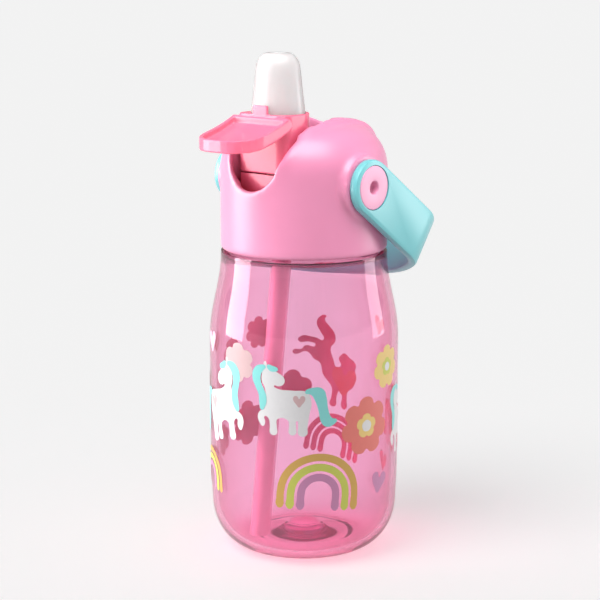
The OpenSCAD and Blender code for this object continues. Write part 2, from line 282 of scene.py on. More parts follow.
@dataclass(frozen=True)
class ClearPlastic:
    """Clear tinted plastic whose colour deepens with its thickness and that lets light through, with a painted shade
    that deepens its colour at the silhouette.
    """

    name: str
    absorbs: Colour
    density: float
    shadow: Colour
    roughness: float = 0.02
    ior: float = 1.47
    ripple: float = 0.02
    face: Colour = (1.0, 1.0, 1.0)
    # rim: colour at the silhouette, a painted shade standing in for the long path of light through the wall at
    # grazing angles
    rim: Colour = (1.0, 1.0, 1.0)
    edge_shade_power: float = 3.0
    haze: float = 0.0
    gleam: Colour = (1.0, 1.0, 1.0)

    def build(self) -> bpy.types.Material:
        """Builds the material."""
        graph = Graph(self.name)
        flow = graph.noise(38.0, 2.0, (1.0, 1.0, 0.25))
        clear = graph.node(
            "ShaderNodeBsdfPrincipled",
            {},
            {
                # The base colour turns to the rim colour towards the silhouette: painted shade at the edges.
                "Base Color": graph.mix(graph.facing(self.edge_shade_power), self.face, self.rim),
                "Roughness": self.roughness + self.roughness * flow,
                "Normal": graph.bump(flow, self.ripple, 0.2),
                "IOR": self.ior,
                "Specular Tint": self.gleam,
                "Transmission Weight": 1.0 - self.haze,
            },
        )
        passing = graph.node("ShaderNodeBsdfTransparent", {}, {"Color": self.shadow})
        path = graph.node("ShaderNodeLightPath", {}, {})
        both = graph.node(
            "ShaderNodeMixShader",
            {},
            {0: graph.out(path, "Is Shadow Ray"), 1: graph.out(clear), 2: graph.out(passing)},
        )
        body = graph.node("ShaderNodeVolumeAbsorption", {}, {"Color": self.absorbs, "Density": self.density})
        graph.tree.links.new(body.outputs[0], graph.output.inputs["Volume"])
        return graph.finish(graph.out(both))


@dataclass(frozen=True)
class Silicone:
    """Soft silicone: milky, light-scattering, with a fine matt skin, and a painted shade that darkens its colour at
    the silhouette.
    """

    name: str
    colour: Colour
    clear: float = 0.35
    roughness: float = 0.28
    # Share of the colour left at the silhouette: painted shade.
    edge_shade_share: float = 0.55
    edge_shade_power: float = 3.0

    def build(self) -> bpy.types.Material:
        """Builds the material."""
        graph = Graph(self.name)
        haze = graph.noise(90.0, 3.0)
        body = graph.mix(haze, tint(self.colour, 0.97), self.colour)
        skin = graph.node(
            "ShaderNodeBsdfPrincipled",
            {"subsurface_method": "RANDOM_WALK"},
            {
                # The base colour darkens towards the silhouette: painted shade at the edges.
                "Base Color": graph.mix(graph.facing(self.edge_shade_power), body, tint(self.colour, self.edge_shade_share)),
                "Roughness": self.roughness + 0.08 * haze,
                "Normal": graph.bump(graph.noise(2600.0), 0.04, 0.02),
                "IOR": 1.41,
                "Transmission Weight": self.clear,
                "Subsurface Weight": 1.0,
                "Subsurface Radius": (1.0, 0.85, 0.85),
                "Subsurface Scale": 4.0 * MM,
            },
        )
        return graph.finish(graph.out(skin))


@dataclass(frozen=True)
class PrintInk:
    """Opaque pad-printed ink: a thin even film with a slight orange-peel skin."""

    name: str
    colour: Colour
    roughness: float = 0.35

    def build(self) -> bpy.types.Material:
        """Builds the material."""
        graph = Graph(self.name)
        film = graph.noise(700.0, 3.0)
        ink = graph.node(
            "ShaderNodeBsdfPrincipled",
            {},
            {
                "Base Color": graph.mix(film, tint(self.colour, 0.96), tint(self.colour, 1.03)),
                "Roughness": self.roughness + 0.1 * film,
                "Normal": graph.bump(film, 0.06, 0.03),
            },
        )
        return graph.finish(graph.out(ink))


@dataclass(frozen=True)
class GroundSteel:
    """Stainless rod with fine marks along its length."""

    name: str

    def build(self) -> bpy.types.Material:
        """Builds the material."""
        graph = Graph(self.name)
        marks = graph.noise(3000.0, 2.0, (0.05, 1.0, 1.0))
        metal = graph.node(
            "ShaderNodeBsdfPrincipled",
            {},
            {
                "Base Color": graph.mix(marks, (0.52, 0.52, 0.54), (0.68, 0.68, 0.7)),
                "Metallic": 1.0,
                "Roughness": 0.2 + 0.2 * marks,
                "Normal": graph.bump(marks, 0.1, 0.01),
            },
        )
        return graph.finish(graph.out(metal))


@dataclass(frozen=True)
class StudioSweep:
    """Pale seamless paper, lifted a little so that it stays even across the frame."""

    name: str
    colour: Colour
    lift: float

    def build(self) -> bpy.types.Material:
        """Builds the material."""
        graph = Graph(self.name)
        paper = graph.noise(9.0, 2.0)
        sheet = graph.node(
            "ShaderNodeBsdfPrincipled",
            {},
            {
                "Base Color": graph.mix(paper, tint(self.colour, 0.995), self.colour),
                "Roughness": 1.0,
                "Specular IOR Level": 0.0,
                "Emission Color": (1.0, 1.0, 1.0),
                "Emission Strength": self.lift,
            },
        )
        return graph.finish(graph.out(sheet))


class Finish(Enum):
    """Every finish on the bottle."""

    # The rim colours of the clear finishes are painted shade at their silhouettes.
    JAR = ClearPlastic(
        "clear_pink", (0.99, 0.1, 0.55), 50.0, (0.84, 0.56, 0.64), face=(1.0, 0.76, 0.89), rim=(0.6, 0.05, 0.16),
        edge_shade_power=1.9, haze=0.05, gleam=(1.0, 0.62, 0.76),
    )
    STRAW = ClearPlastic(
        "clear_straw", (0.8, 0.1, 0.35), 60.0, (0.97, 0.82, 0.87), 0.04, face=(0.93, 0.74, 0.82),
        rim=(0.7, 0.3, 0.42), edge_shade_power=1.6, haze=0.02,
    )
    LID = SatinPlastic("satin_pink", (0.66, 0.22, 0.37), glow=0.12)
    BUTTON = SatinPlastic("button_pink", (0.74, 0.31, 0.47), 0.42)
    HANDLE = SatinPlastic("satin_turquoise", (0.14, 0.46, 0.49), 0.36, glow=0.08)
    RED = ClearPlastic(
        "clear_red", (0.98, 0.05, 0.16), 1000.0, (0.94, 0.36, 0.44), 0.03, 1.5, 0.03, face=(0.98, 0.3, 0.37),
        rim=(0.8, 0.05, 0.1), edge_shade_power=1.6, haze=0.1, gleam=(1.0, 0.8, 0.84),
    )
    # Both silicones darken at their silhouettes: painted shade.
    SPOUT = Silicone("milky_silicone", (0.86, 0.82, 0.82), 0.5)
    SEAL = Silicone("natural_silicone", (0.9, 0.88, 0.88), 0.1, 0.35)
    INNER = SatinPlastic("natural_polypropylene", (0.82, 0.79, 0.79), 0.38, glow=0.3)
    STEEL = GroundSteel("ground_steel")
    # Raspberry on the inner face of the ink films: painted shade for the unlit back of the ink seen through the pink
    # wall.
    INK_BACK = PrintInk("ink_back", (0.74, 0.13, 0.28))
    INK_WHITE = PrintInk("ink_white", (0.72, 0.71, 0.72))
    INK_TURQUOISE = PrintInk("ink_turquoise", (0.24, 0.68, 0.66))
    INK_OCHRE = PrintInk("ink_ochre", (0.62, 0.37, 0.09))
    INK_LIME = PrintInk("ink_lime", (0.55, 0.58, 0.1))
    INK_MAUVE = PrintInk("ink_mauve", (0.55, 0.23, 0.41))
    INK_CORAL = PrintInk("ink_coral", (0.75, 0.19, 0.16))
    INK_YELLOW = PrintInk("ink_yellow", (0.8, 0.57, 0.2))
    INK_ROSE = PrintInk("ink_rose", (0.6, 0.4, 0.41))
    INK_BLUSH = PrintInk("ink_blush", (0.8, 0.48, 0.62))
    INK_ORANGE = PrintInk("ink_orange", (0.78, 0.16, 0.1))

    def material(self) -> bpy.types.Material:
        """Gives the finish's material, built the first time it is asked for."""
        made = bpy.data.materials.get(self.value.name)
        return made if made else self.value.build()


# ------------------------------------------------------------------ mesh work


class Form:
    """A mesh under construction, in millimetres."""

    def __init__(self, source: bpy.types.Mesh | None = None) -> None:
        """Starts empty or from a mesh in metres.

        Args:
            source: A mesh to copy and merge.
        """
        self.bm = bmesh.new()
        if source:
            self.bm.from_mesh(source)
            self.move(Matrix.Scale(1.0 / MM, 4))
            self.merge(0.002)

    def merge(self, distance: float) -> None:
        """Joins vertices that lie within a distance."""
        bmesh.ops.remove_doubles(self.bm, verts=self.bm.verts, dist=distance)

    def outward(self) -> None:
        """Makes every face point outwards."""
        bmesh.ops.recalc_face_normals(self.bm, faces=self.bm.faces)

    def move(self, matrix: Matrix, verts: Iterable[bmesh.types.BMVert] | None = None) -> None:
        """Moves the whole mesh, or some of its vertices, by a matrix."""
        bmesh.ops.transform(self.bm, matrix=matrix, verts=list(verts or self.bm.verts))

    def lathe(self, outline: Sequence[Point], steps: int = 128) -> None:
        """Turns a closed outline of radius and height about Z.

        Args:
            outline: Corner points; points on the axis become poles.
            steps: Facets around.
        """
        ring = [self.bm.verts.new((radius, 0.0, height)) for radius, height in outline]
        edges = [self.bm.edges.new(pair) for pair in zip(ring, ring[1:])]
        if outline[0][0] > 0.0 or outline[-1][0] > 0.0:
            edges.append(self.bm.edges.new((ring[-1], ring[0])))
        bmesh.ops.spin(
            self.bm, geom=ring + edges, cent=(0, 0, 0), axis=(0, 0, 1), angle=math.tau, steps=steps, use_merge=True
        )
        self.merge(0.0005)
        self.outward()

    def cut(self, place: Sequence[float], facing: Sequence[float], clear: bool = False) -> list[bmesh.types.BMEdge]:
        """Cuts along a plane.

        Args:
            place: A point on the plane.
            facing: The plane's direction.
            clear: Whether what lies on the facing side is taken away.

        Returns:
            The edges along the cut.
        """
        geom = list(self.bm.verts) + list(self.bm.edges) + list(self.bm.faces)
        made = bmesh.ops.bisect_plane(
            self.bm, geom=geom, plane_co=place, plane_no=facing, clear_outer=clear, dist=0.0005
        )
        return [item for item in made["geom_cut"] if isinstance(item, bmesh.types.BMEdge)]

    def bevel(self, edges: Iterable[bmesh.types.BMEdge], width: float, segments: int = 3) -> None:
        """Rounds edges over by a width."""
        bmesh.ops.bevel(
            self.bm, geom=list(edges), offset=width, segments=segments, profile=0.5, affect="EDGES", material=-1,
            clamp_overlap=True,
        )

    def sharp_edges(self, degrees: float) -> list[bmesh.types.BMEdge]:
        """Lists the edges whose faces meet at more than an angle."""
        limit = math.radians(degrees)
        return [edge for edge in self.bm.edges if edge.is_manifold and edge.calc_face_angle(0.0) > limit]

    def smooth(self, passes: int, chosen: Callable[[Vector], bool] = lambda place: True) -> None:
        """Relaxes the surface.

        Args:
            passes: How many times.
            chosen: Tells whether a vertex at a place takes part.
        """
        verts = [vert for vert in self.bm.verts if chosen(vert.co)]
        for _ in range(passes):
            bmesh.ops.smooth_vert(
                self.bm, verts=verts, factor=0.5, use_axis_x=True, use_axis_y=True, use_axis_z=True
            )

    def remesh(self, voxel: float) -> None:
        """Rebuilds the surface with even faces of a size, so that every edge can be softened."""
        mesh = bpy.data.meshes.new("remeshing")
        self.bm.to_mesh(mesh)
        carrier = bpy.data.objects.new("remeshing", mesh)
        bpy.context.scene.collection.objects.link(carrier)
        modifier = carrier.modifiers.new("voxels", "REMESH")
        modifier.mode = "VOXEL"
        modifier.voxel_size = voxel
        self._take(carrier)

    def combine(self, other: "Form", operation: str) -> None:
        """Joins another form to this one, or cuts it out.

        Args:
            other: The second form, which is used up.
            operation: UNION or DIFFERENCE.
        """
        pair = []
        for part in (self, other):
            mesh = bpy.data.meshes.new("combining")
            part.bm.to_mesh(mesh)
            pair.append(bpy.data.objects.new("combining", mesh))
            bpy.context.scene.collection.objects.link(pair[-1])
        other.bm.free()
        modifier = pair[0].modifiers.new("combine", "BOOLEAN")
        modifier.operation = operation
        modifier.solver = "EXACT"
        modifier.object = pair[1]
        self._take(pair[0])
        bpy.data.objects.remove(pair[1])

    def _take(self, carrier: bpy.types.Object) -> None:
        """Reads a carrier's finished mesh back, and removes the carrier."""
        graph = bpy.context.evaluated_depsgraph_get()
        done = bpy.data.meshes.new_from_object(carrier.evaluated_get(graph))
        self.bm.free()
        self.bm = bmesh.new()
        self.bm.from_mesh(done)
        bpy.data.objects.remove(carrier)
        bpy.data.meshes.remove(done)

    def to_object(
        self, name: str, body: str, slot: str, finishes: Sequence[Finish], replaces: Sequence[str] = (),
        sharp: float = 180.0,
    ) -> bpy.types.Object:
        """Turns the form into a finished piece.

        Args:
            name: The piece's name.
            body: The frame's body that it rides on.
            slot: The record's material slot; not used.
            finishes: Its finishes, in the order of the faces' material numbers.
            replaces: The frame's nodes that it stands for.
            sharp: Angle in degrees above which an edge stays crisp.

        Returns:
            The piece's object.
        """
        self.move(Matrix.Scale(MM, 4))
        mesh = bpy.data.meshes.new(name)
        self.bm.to_mesh(mesh)
        self.bm.free()
        mesh.shade_smooth()
        if sharp < 180.0:
            mesh.set_sharp_from_angle(angle=math.radians(sharp))
        for finish in finishes:
            mesh.materials.append(finish.material())
        piece = bpy.data.objects.new(name, mesh)
        bpy.context.scene.collection.objects.link(piece)
        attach(piece, body)
        if replaces:
            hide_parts(*replaces)
        LOG.info("%s: %d faces on body %s", name, len(mesh.polygons), body)
        return piece


def arc(cx: float, cy: float, radius: float, start: float, end: float, steps: int = 6) -> list[Point]:
    """Gives points on an arc, with its angles in degrees."""
    angles = [math.radians(start + (end - start) * step / steps) for step in range(steps + 1)]
    return [(cx + radius * math.cos(angle), cy + radius * math.sin(angle)) for angle in angles]


# ------------------------------------------------------------------ jar


@dataclass
class Jar:
    """The clear jar: foot, rounded corner, straight belly, shoulder and threaded neck."""

    radius: float = 37.0
    wall: float = 2.4
    foot: float = 22.0
    corner: float = 19.2
    belly: float = 34.0
    shoulder: tuple[float, float] = (84.0, 118.0)
    top_radius: float = 32.35
    ledge: float = 118.4
    neck: float = 26.4
    neck_wall: float = 2.2
    rim: float = 136.0
    thread_start: float = 123.5
    thread_lead: float = 6.0
    thread_turns: float = 1.4

    def outside(self, height: float) -> float:
        """Gives the jar's outer radius at a height."""
        if height < self.corner:
            drop = (self.corner - height) / self.corner
            return self.foot + (self.radius - 0.5 - self.foot) * math.sqrt(max(0.0, 1.0 - drop * drop))
        if height < self.belly:
            rise = (height - self.corner) / (self.belly - self.corner)
            return self.radius - 0.5 * (1.0 - math.sin(math.pi / 2 * rise))
        low, high = self.shoulder
        if height < low:
            return self.radius
        swing = (1.0 + math.cos(math.pi * (height - low) / (high - low))) / 2
        return self.top_radius + (self.radius - self.top_radius) * swing

    def outline(self) -> list[Point]:
        """Gives the wall's section from the middle of the underside, up and back down inside."""
        low, high = self.shoulder
        reach = self.radius - 0.5 - self.foot
        under = [(0.0, 0.0), (6.2, 0.0), (7.0, 0.1), (7.6, 0.6), (8.0, 1.3), (8.6, 1.8), (9.6, 2.0), (17.0, 2.0),
                 (18.0, 1.8), (18.6, 1.2), (19.0, 0.5), (19.8, 0.05), (20.6, 0.0)]
        corner = [(self.foot + reach * math.cos(math.radians(t)), self.corner * (1.0 + math.sin(math.radians(t))))
                  for t in range(-88, 1, 4)]
        belly = [(self.outside(z), z) for z in (22.0, 25.0, 28.0, 31.0, 34.0, 44.0, 54.0, 64.0, 74.0)]
        shoulder = [(self.outside(low + (high - low) * i / 24), low + (high - low) * i / 24) for i in range(25)]
        neck = [(self.top_radius - 0.15, self.ledge - 0.12), (self.top_radius - 0.5, self.ledge),
                (self.neck + 0.5, self.ledge), (self.neck + 0.15, self.ledge + 0.15), (self.neck, self.ledge + 0.5),
                (self.neck, self.rim - 0.6), (self.neck - 0.2, self.rim - 0.2), (self.neck - 0.6, self.rim)]
        bore = self.neck - self.neck_wall
        inside_neck = [(bore + 0.4, self.rim), (bore + 0.1, self.rim - 0.1), (bore, self.rim - 0.5),
                       (bore, self.ledge), (bore + 0.2, self.ledge - 0.7), (bore + 0.8, self.ledge - 1.1),
                       (self.top_radius - self.wall - 1.2, self.ledge - 1.3),
                       (self.top_radius - self.wall - 0.5, self.ledge - 1.7),
                       (self.top_radius - self.wall - 0.2, self.ledge - 2.4)]
        inside = [(radius - self.wall, z) for radius, z in reversed(shoulder[:-3])]
        inside += [(radius - self.wall, z) for radius, z in reversed(belly)]
        floor = [(self.foot + (reach - self.wall) * math.cos(math.radians(t)),
                  self.corner + (self.corner - 3.0) * math.sin(math.radians(t))) for t in range(0, -85, -4)]
        nub = [(16.0, 4.6), (12.0, 5.35), (9.0, 5.75), (8.2, 5.95), (7.9, 6.3), (7.6, 6.6), (6.6, 6.8), (6.1, 7.1),
               (5.8, 7.7), (5.3, 8.4), (4.4, 8.95), (3.2, 9.3), (1.6, 9.47), (0.0, 9.5)]
        return under + corner + belly + shoulder + neck + inside_neck + inside + floor + nub

    def thread(self) -> Form:
        """Builds the screw ridge that winds up the neck."""
        form = Form()
        steps_per_turn = 60
        steps = round(steps_per_turn * self.thread_turns)
        section = [(self.neck - 0.3, -1.2), (self.neck + 1.0, -0.7), (self.neck + 1.25, -0.35),
                   (self.neck + 1.25, 0.35), (self.neck + 1.0, 0.7), (self.neck - 0.3, 1.2)]
        ring = [form.bm.verts.new((radius, 0.0, self.thread_start + height)) for radius, height in section]
        edges = [form.bm.edges.new(pair) for pair in zip(ring, ring[1:] + ring[:1])]
        spun = bmesh.ops.spin(
            form.bm, geom=ring + edges, cent=(0, 0, 0), axis=(0, 0, 1), angle=math.tau * self.thread_turns,
            dvec=(0, 0, self.thread_lead / steps_per_turn), steps=steps,
        )
        last = [item for item in spun["geom_last"] if isinstance(item, bmesh.types.BMEdge)]
        for end in (edges, last):
            bmesh.ops.contextual_create(form.bm, geom=end)
        form.outward()
        return form

    def build(self) -> bpy.types.Object:
        """Builds the jar and dresses it."""
        form = Form()
        form.lathe(self.outline(), 176)
        form.combine(self.thread(), "UNION")
        return form.to_object("jar_clear", "jar", "clear_pink_jar", [Finish.JAR], ["bottle_jar"], 40.0)


# ------------------------------------------------------------------ print


def heart(width: float) -> list[Point]:
    """Gives a heart's outline."""
    half = width / 2
    side = [(0.0, 0.45), (0.3, 0.86), (0.72, 0.92), (1.0, 0.55), (0.88, 0.05), (0.45, -0.5)]
    right = [(half * x, half * y) for x, y in side]
    return right + [(0.0, -0.98 * half)] + [(-x, y) for x, y in reversed(right[1:])]


def petals(radius: float, count: int, depth: float = 0.2) -> list[Point]:
    """Gives a flower's outline with round petals."""
    points = []
    for step in range(count * 6):
        angle = math.tau * step / (count * 6)
        reach = radius * (1.0 - depth + depth * abs(math.cos(count * angle / 2)) ** 0.7)
        points.append((reach * math.sin(angle), reach * math.cos(angle)))
    return points


def cloud(width: float) -> list[Point]:
    """Gives a flat-bottomed cloud's outline."""
    half = width / 2
    return [(half * x, half * y) for x, y in
            [(-0.9, -0.35), (-1.0, 0.0), (-0.75, 0.25), (-0.5, 0.3), (-0.35, 0.55), (0.0, 0.68), (0.35, 0.5),
             (0.55, 0.25), (0.85, 0.2), (1.0, -0.1), (0.85, -0.38), (0.3, -0.42), (-0.3, -0.42)]]


def arch(half: float, height: float, band: float) -> list[Point]:
    """Gives the outline of one rainbow band.

    Args:
        half: Half the width across the band's middle.
        height: Height of the band's middle above its feet.
        band: Width of the band.

    Returns:
        The outline's points.
    """
    leg = height - half
    def side(reach: float) -> list[Point]:
        """Gives one side of the band, from the left foot to the right."""
        top = [(-x, y) for x, y in arc(0.0, leg, reach, 0, 180, 10)]
        return [(-reach, 0.0), (-reach, leg * 0.5)] + top + [(reach, leg * 0.5), (reach, 0.0)]
    outer, inner = side(half + band / 2), side(half - band / 2)
    foot = [(half, -band * 0.45)]
    return outer + foot + list(reversed(inner)) + [(-half, -band * 0.45)]


PONY = [(-9.2, 15.2), (-8.2, 13.2), (-6.8, 12.2), (-3.9, 10.9), (-1.6, 8.9), (-1.9, 6.7), (-4.0, 5.8), (-5.6, 5.9),
        (-4.3, 4.9), (1.4, 4.4), (7.0, 3.7), (8.6, 0.4), (7.8, -5.2), (7.1, -10.2), (6.8, -12.9), (4.0, -13.0),
        (3.6, -9.0), (3.2, -7.4), (2.8, -9.4), (2.6, -12.6), (0.4, -12.6), (0.2, -9.0), (-0.3, -7.2), (-4.3, -7.0),
        (-4.6, -9.4), (-4.7, -12.9), (-7.0, -12.9), (-7.3, -9.4), (-8.0, -6.7), (-9.4, -6.2), (-9.2, -8.6),
        (-10.2, -10.2), (-11.3, -9.3), (-12.3, -6.4), (-11.4, -4.4), (-9.6, -3.4), (-9.2, 0.4), (-9.2, 4.4),
        (-10.6, 7.6), (-10.4, 10.6), (-9.8, 13.0)]
MANE = [(-8.9, 13.1), (-11.4, 13.6), (-14.0, 11.6), (-14.5, 8.1), (-13.2, 4.8), (-11.9, 2.0), (-11.6, -1.2),
        (-10.6, -3.9), (-9.2, -2.4), (-8.6, 0.5), (-9.5, 4.0), (-10.8, 6.8), (-10.9, 9.6), (-9.9, 11.6)]
FORELOCK = [(-8.3, 13.7), (-6.2, 13.6), (-4.0, 12.2), (-5.8, 11.3), (-7.6, 11.8)]
TAIL = [(6.2, 3.7), (9.6, 5.6), (13.0, 4.9), (14.4, 1.4), (15.0, -3.0), (16.4, -6.4), (18.4, -7.3), (17.0, -9.2),
        (14.2, -9.8), (12.2, -7.8), (11.3, -3.6), (9.8, 0.8), (8.4, 2.8)]
LEAPER = [(0.0, 20.2), (-3.2, 19.4), (-4.3, 16.6), (-2.6, 13.0), (-1.2, 9.6), (-5.0, 10.4), (-12.2, 10.4),
          (-12.4, 8.8), (-7.6, 8.4), (-4.9, 7.0), (-9.6, 6.8), (-11.0, 5.4), (-14.9, 4.9), (-14.8, 3.6), (-8.6, 4.2),
          (-5.4, 1.2), (-2.9, -0.2), (-1.4, -5.4), (2.6, -10.8), (2.4, -15.0), (1.8, -18.4), (4.0, -19.0),
          (5.0, -14.4), (6.6, -12.0), (7.6, -14.0), (7.4, -19.2), (9.2, -19.8), (10.0, -14.6), (10.4, -12.2),
          (13.0, -10.0), (14.8, -6.0), (14.4, -2.0), (15.0, -0.3), (13.6, 1.8), (11.6, 2.8), (9.4, 4.4), (7.4, 4.0),
          (6.0, 2.0), (7.0, -0.8), (5.0, -1.8), (3.4, 1.4), (2.2, 6.2), (4.2, 9.0), (4.0, 12.4), (1.2, 16.0),
          (-0.6, 18.4)]


@dataclass(frozen=True)
class Motif:
    """One flat shape of ink and its place on the jar."""

    name: str
    outline: list[Point]
    ink: Finish
    azimuth: float
    height: float
    turn: float = 0.0
    scale: float = 1.0
    flip: bool = False
    layer: int = 0
    # back: finish of the film's face towards the jar; the default raspberry is painted shade.
    back: Finish = Finish.INK_BACK


@dataclass
class Print:
    """The printed motifs, each a thin film of ink wrapped around the jar's wall."""

    jar: Jar
    gap: float = 0.05
    film: float = 0.03
    strip: float = 1.0
    cut_shift: tuple[float, float] = (0.013, 0.017)
    layer_gap: float = 0.02
    fineness: int = 5
    crisp: float = 40.0

    def pony(self, name: str, azimuth: float, height: float, turn: float = 0.0, flip: bool = False,
             scale: float = 1.0) -> list[Motif]:
        """Gives the four films of a standing pony."""
        def part(suffix: str, outline: list[Point], ink: Finish, layer: int) -> Motif:
            """Places one film of the pony."""
            return Motif(f"{name}_{suffix}", outline, ink, azimuth, height, turn, scale, flip, layer)
        mark = [(x + 4.0, y + 0.2) for x, y in heart(4.6)]
        return [part("body", PONY, Finish.INK_WHITE, 0), part("mane", MANE, Finish.INK_TURQUOISE, 1),
                part("forelock", FORELOCK, Finish.INK_TURQUOISE, 1), part("tail", TAIL, Finish.INK_TURQUOISE, 1),
                part("mark", mark, Finish.INK_ROSE, 1)]

    def rainbow(self, name: str, azimuth: float, height: float, inks: Sequence[Finish], half: float,
                turn: float = 0.0) -> list[Motif]:
        """Gives a rainbow's bands, the outermost first."""
        step = half * 0.27
        return [Motif(f"{name}_band{i + 1}", arch(half - step * i, half * 1.36 - step * i, step * 0.74), ink, azimuth,
                      height, turn) for i, ink in enumerate(inks)]

    def flower(self, name: str, azimuth: float, height: float, radius: float, ink: Finish, centre: Finish,
               count: int = 7) -> list[Motif]:
        """Gives a flower and its centre."""
        return [Motif(f"{name}_petals", petals(radius, count), ink, azimuth, height),
                Motif(f"{name}_centre", petals(radius * 0.42, 5), centre, azimuth, height, layer=1),
                Motif(f"{name}_eye", petals(radius * 0.2, 5, 0.05), Finish.INK_WHITE, azimuth, height, layer=2)]

    def motifs(self) -> list[Motif]:
        """Lists every motif, going round the jar."""
        bands = [Finish.INK_OCHRE, Finish.INK_LIME, Finish.INK_MAUVE]
        reds = [Finish.INK_CORAL, Finish.INK_ROSE, Finish.INK_BLUSH]
        listed = self.pony("pony_front", 31.0, 66.5)
        listed += self.pony("pony_left", -22.0, 61.5, 14.0, True, 1.12)
        listed += self.rainbow("rainbow_front", 48.0, 25.0, bands, 14.6, -4.0)
        listed += self.flower("flower_coral", 80.0, 55.0, 11.4, Finish.INK_CORAL, Finish.INK_YELLOW)
        listed += self.flower("flower_yellow", 99.0, 76.0, 8.5, Finish.INK_YELLOW, Finish.INK_LIME)
        listed += [Motif("heart_mauve", heart(8.6), Finish.INK_MAUVE, 91.0, 31.0, -12.0),
                   Motif("flower_rose", petals(7.6, 6), Finish.INK_ROSE, -2.5, 79.5),
                   Motif("heart_blush", heart(8.5), Finish.INK_BLUSH, -33.0, 84.0, 8.0)]
        listed += self.pony("pony_right", 125.0, 52.0, -6.0)
        listed += [Motif("heart_orange", heart(12.0), Finish.INK_ORANGE, 192.0, 57.0, 6.0, back=Finish.INK_ORANGE),
                   Motif("pony_leaping", LEAPER, Finish.INK_TURQUOISE, 205.0, 64.5, 0.0, 0.97, True, 1),
                   Motif("cloud_back", cloud(17.0), Finish.INK_WHITE, 228.0, 55.5),
                   Motif("flower_back", petals(6.8, 7), Finish.INK_YELLOW, 252.0, 78.0),
                   Motif("flower_back_low", petals(9.4, 6), Finish.INK_CORAL, 262.0, 41.0)]
        listed += self.rainbow("rainbow_back", 201.0, 26.0, reds, 11.6, 10.0)
        listed += self.pony("pony_back", 292.0, 64.0, 0.0)
        listed += [Motif("heart_back", heart(8.0), Finish.INK_MAUVE, 158.0, 84.0, 10.0),
                   Motif("heart_side", heart(7.4), Finish.INK_CORAL, 250.0, 60.0, -14.0),
                   Motif("flower_side", petals(6.6, 6), Finish.INK_YELLOW, 292.0, 38.0),
                   Motif("heart_low", heart(8.2), Finish.INK_LIME, 150.0, 29.0, 8.0)]
        listed += self.rainbow("rainbow_side", 323.0, 26.0, bands, 10.4)
        return listed

    def wrap(self, motif: Motif) -> bpy.types.Object:
        """Cuts one motif out of a film and lays it on the jar.

        Args:
            motif: The motif.

        Returns:
            The film's object.
        """
        curve = bpy.data.curves.new(motif.name, "CURVE")
        curve.dimensions = "2D"
        curve.fill_mode = "BOTH"
        spline = curve.splines.new("BEZIER")
        spline.bezier_points.add(len(motif.outline) - 1)
        for point, (x, y) in zip(spline.bezier_points, motif.outline):
            point.co = (x, y, 0.0)
            point.handle_left_type = point.handle_right_type = "AUTO"
        spline.use_cyclic_u = True
        spline.resolution_u = self.fineness
        drawn = bpy.data.objects.new(motif.name, curve)
        mesh = bpy.data.meshes.new_from_object(drawn)
        form = Form()
        form.bm.from_mesh(mesh)
        bpy.data.objects.remove(drawn)
        bpy.data.curves.remove(curve)
        bpy.data.meshes.remove(mesh)
        form.merge(0.001)
        mirror = Matrix.Scale(-1.0 if motif.flip else 1.0, 4, (1, 0, 0))
        form.move(Matrix.Rotation(math.radians(motif.turn), 4, "Z") @ Matrix.Scale(motif.scale, 4) @ mirror)
        spread = max(max(abs(vert.co.x), abs(vert.co.y)) for vert in form.bm.verts)
        reach = int(spread / self.strip)
        for line in range(-reach, reach + 1):
            form.cut((line * self.strip + self.cut_shift[0], 0, 0), (1, 0, 0))
            form.cut((0, line * self.strip + self.cut_shift[1], 0), (0, 1, 0))
        bmesh.ops.recalc_face_normals(form.bm, faces=form.bm.faces)
        if sum(face.normal.z for face in form.bm.faces) < 0:
            bmesh.ops.reverse_faces(form.bm, faces=form.bm.faces)
        back = list(form.bm.faces)
        raised = bmesh.ops.extrude_face_region(form.bm, geom=back, use_keep_orig=True)
        front = [item for item in raised["geom"] if isinstance(item, bmesh.types.BMVert)]
        bmesh.ops.translate(form.bm, vec=(0, 0, self.film), verts=front)
        form.outward()
        for face in form.bm.faces:
            # Faces towards the jar take the back finish, by default a raspberry painted shade.
            face.material_index = 1 if face.normal.z < -0.5 else 0
        lift = self.gap + motif.layer * (self.film + self.layer_gap)
        for vert in form.bm.verts:
            height = motif.height + vert.co.y
            radius = self.jar.outside(height) + lift + vert.co.z
            angle = math.radians(motif.azimuth) + vert.co.x / self.jar.outside(height)
            vert.co = (radius * math.sin(angle), -radius * math.cos(angle), height)
        return form.to_object(motif.name, "jar", "clear_pink_jar", [motif.ink, motif.back], sharp=self.crisp)

    def build(self) -> list[bpy.types.Object]:
        """Builds every motif."""
        return [self.wrap(motif) for motif in self.motifs()]


# ------------------------------------------------------------------ lid


